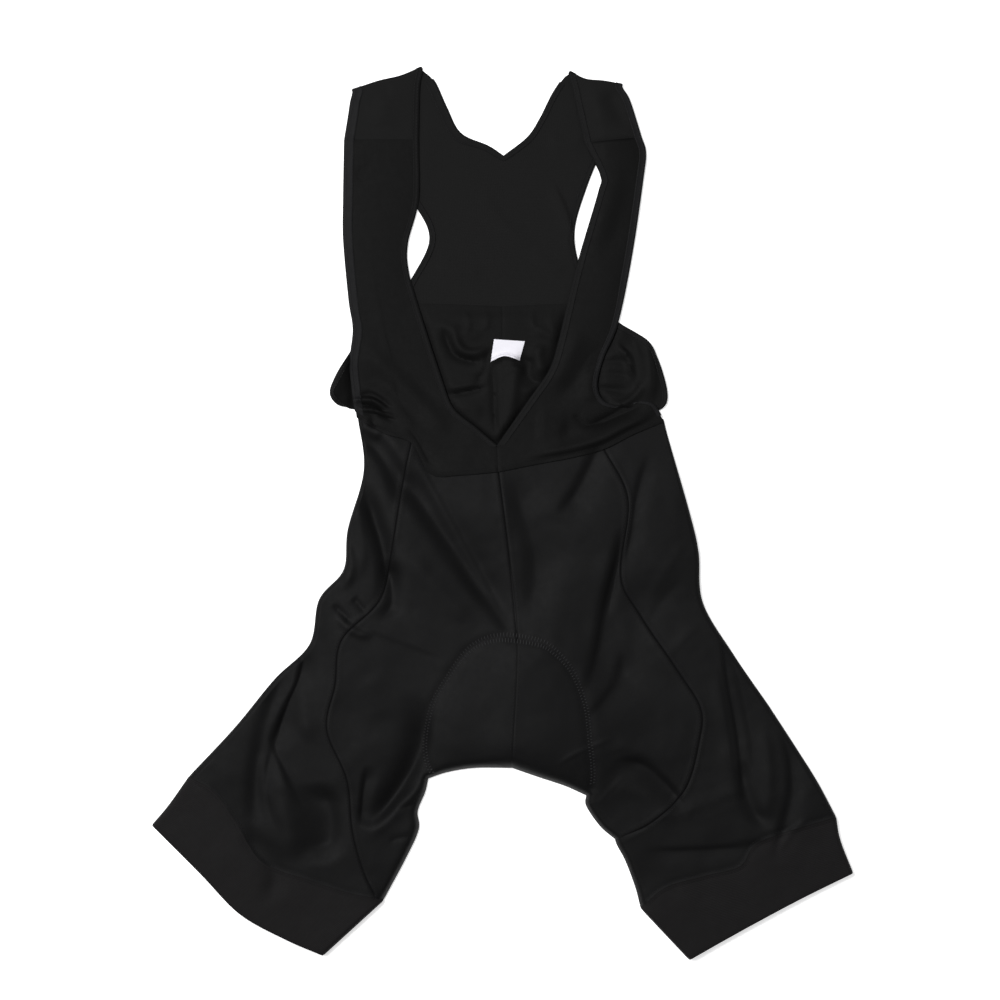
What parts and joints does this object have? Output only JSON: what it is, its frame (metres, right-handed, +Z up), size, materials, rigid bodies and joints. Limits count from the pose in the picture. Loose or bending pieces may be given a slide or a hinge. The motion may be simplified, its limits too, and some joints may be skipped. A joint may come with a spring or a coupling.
{
  "type": "cycling bib shorts",
  "caption": "Black cycling bib shorts laid flat, front up, with mesh back yoke, shoulder straps, seat pad and leg grippers.",
  "frame": {"origin": "middle of the box of the garment on the surface it lies on", "axes": "+Z up from the surface, +Y towards the shoulders, +X to the viewer's right, which is the wearer's left"},
  "size_m": [0.6594, 0.84, 0.0162],
  "materials": {
    "knit": "black stretch knit, low sheen",
    "bib": "black light stretch knit",
    "mesh": "matte black fine mesh",
    "gripper": "black elastic band",
    "hem": "black elastic hem tape",
    "padding": "dark grey brushed padding",
    "label": "white satin ribbon"
  },
  "bodies": {
    "root": {"arm_hem_left": "hem", "arm_hem_right": "hem", "back_arm_hem_left": "hem", "back_arm_hem_right": "hem", "back_left": "knit", "back_neck_hem": "hem", "back_right": "knit", "back_yoke": "mesh", "bib_front_left": "bib", "bib_front_right": "bib", "care_label": "label", "front_left": "knit", "front_right": "knit", "gripper_left": "gripper", "gripper_right": "gripper", "neck_hem_left": "hem", "neck_hem_right": "hem", "seat_pad": "padding", "side_left": "knit", "side_right": "knit"}
  },
  "joints": []
}
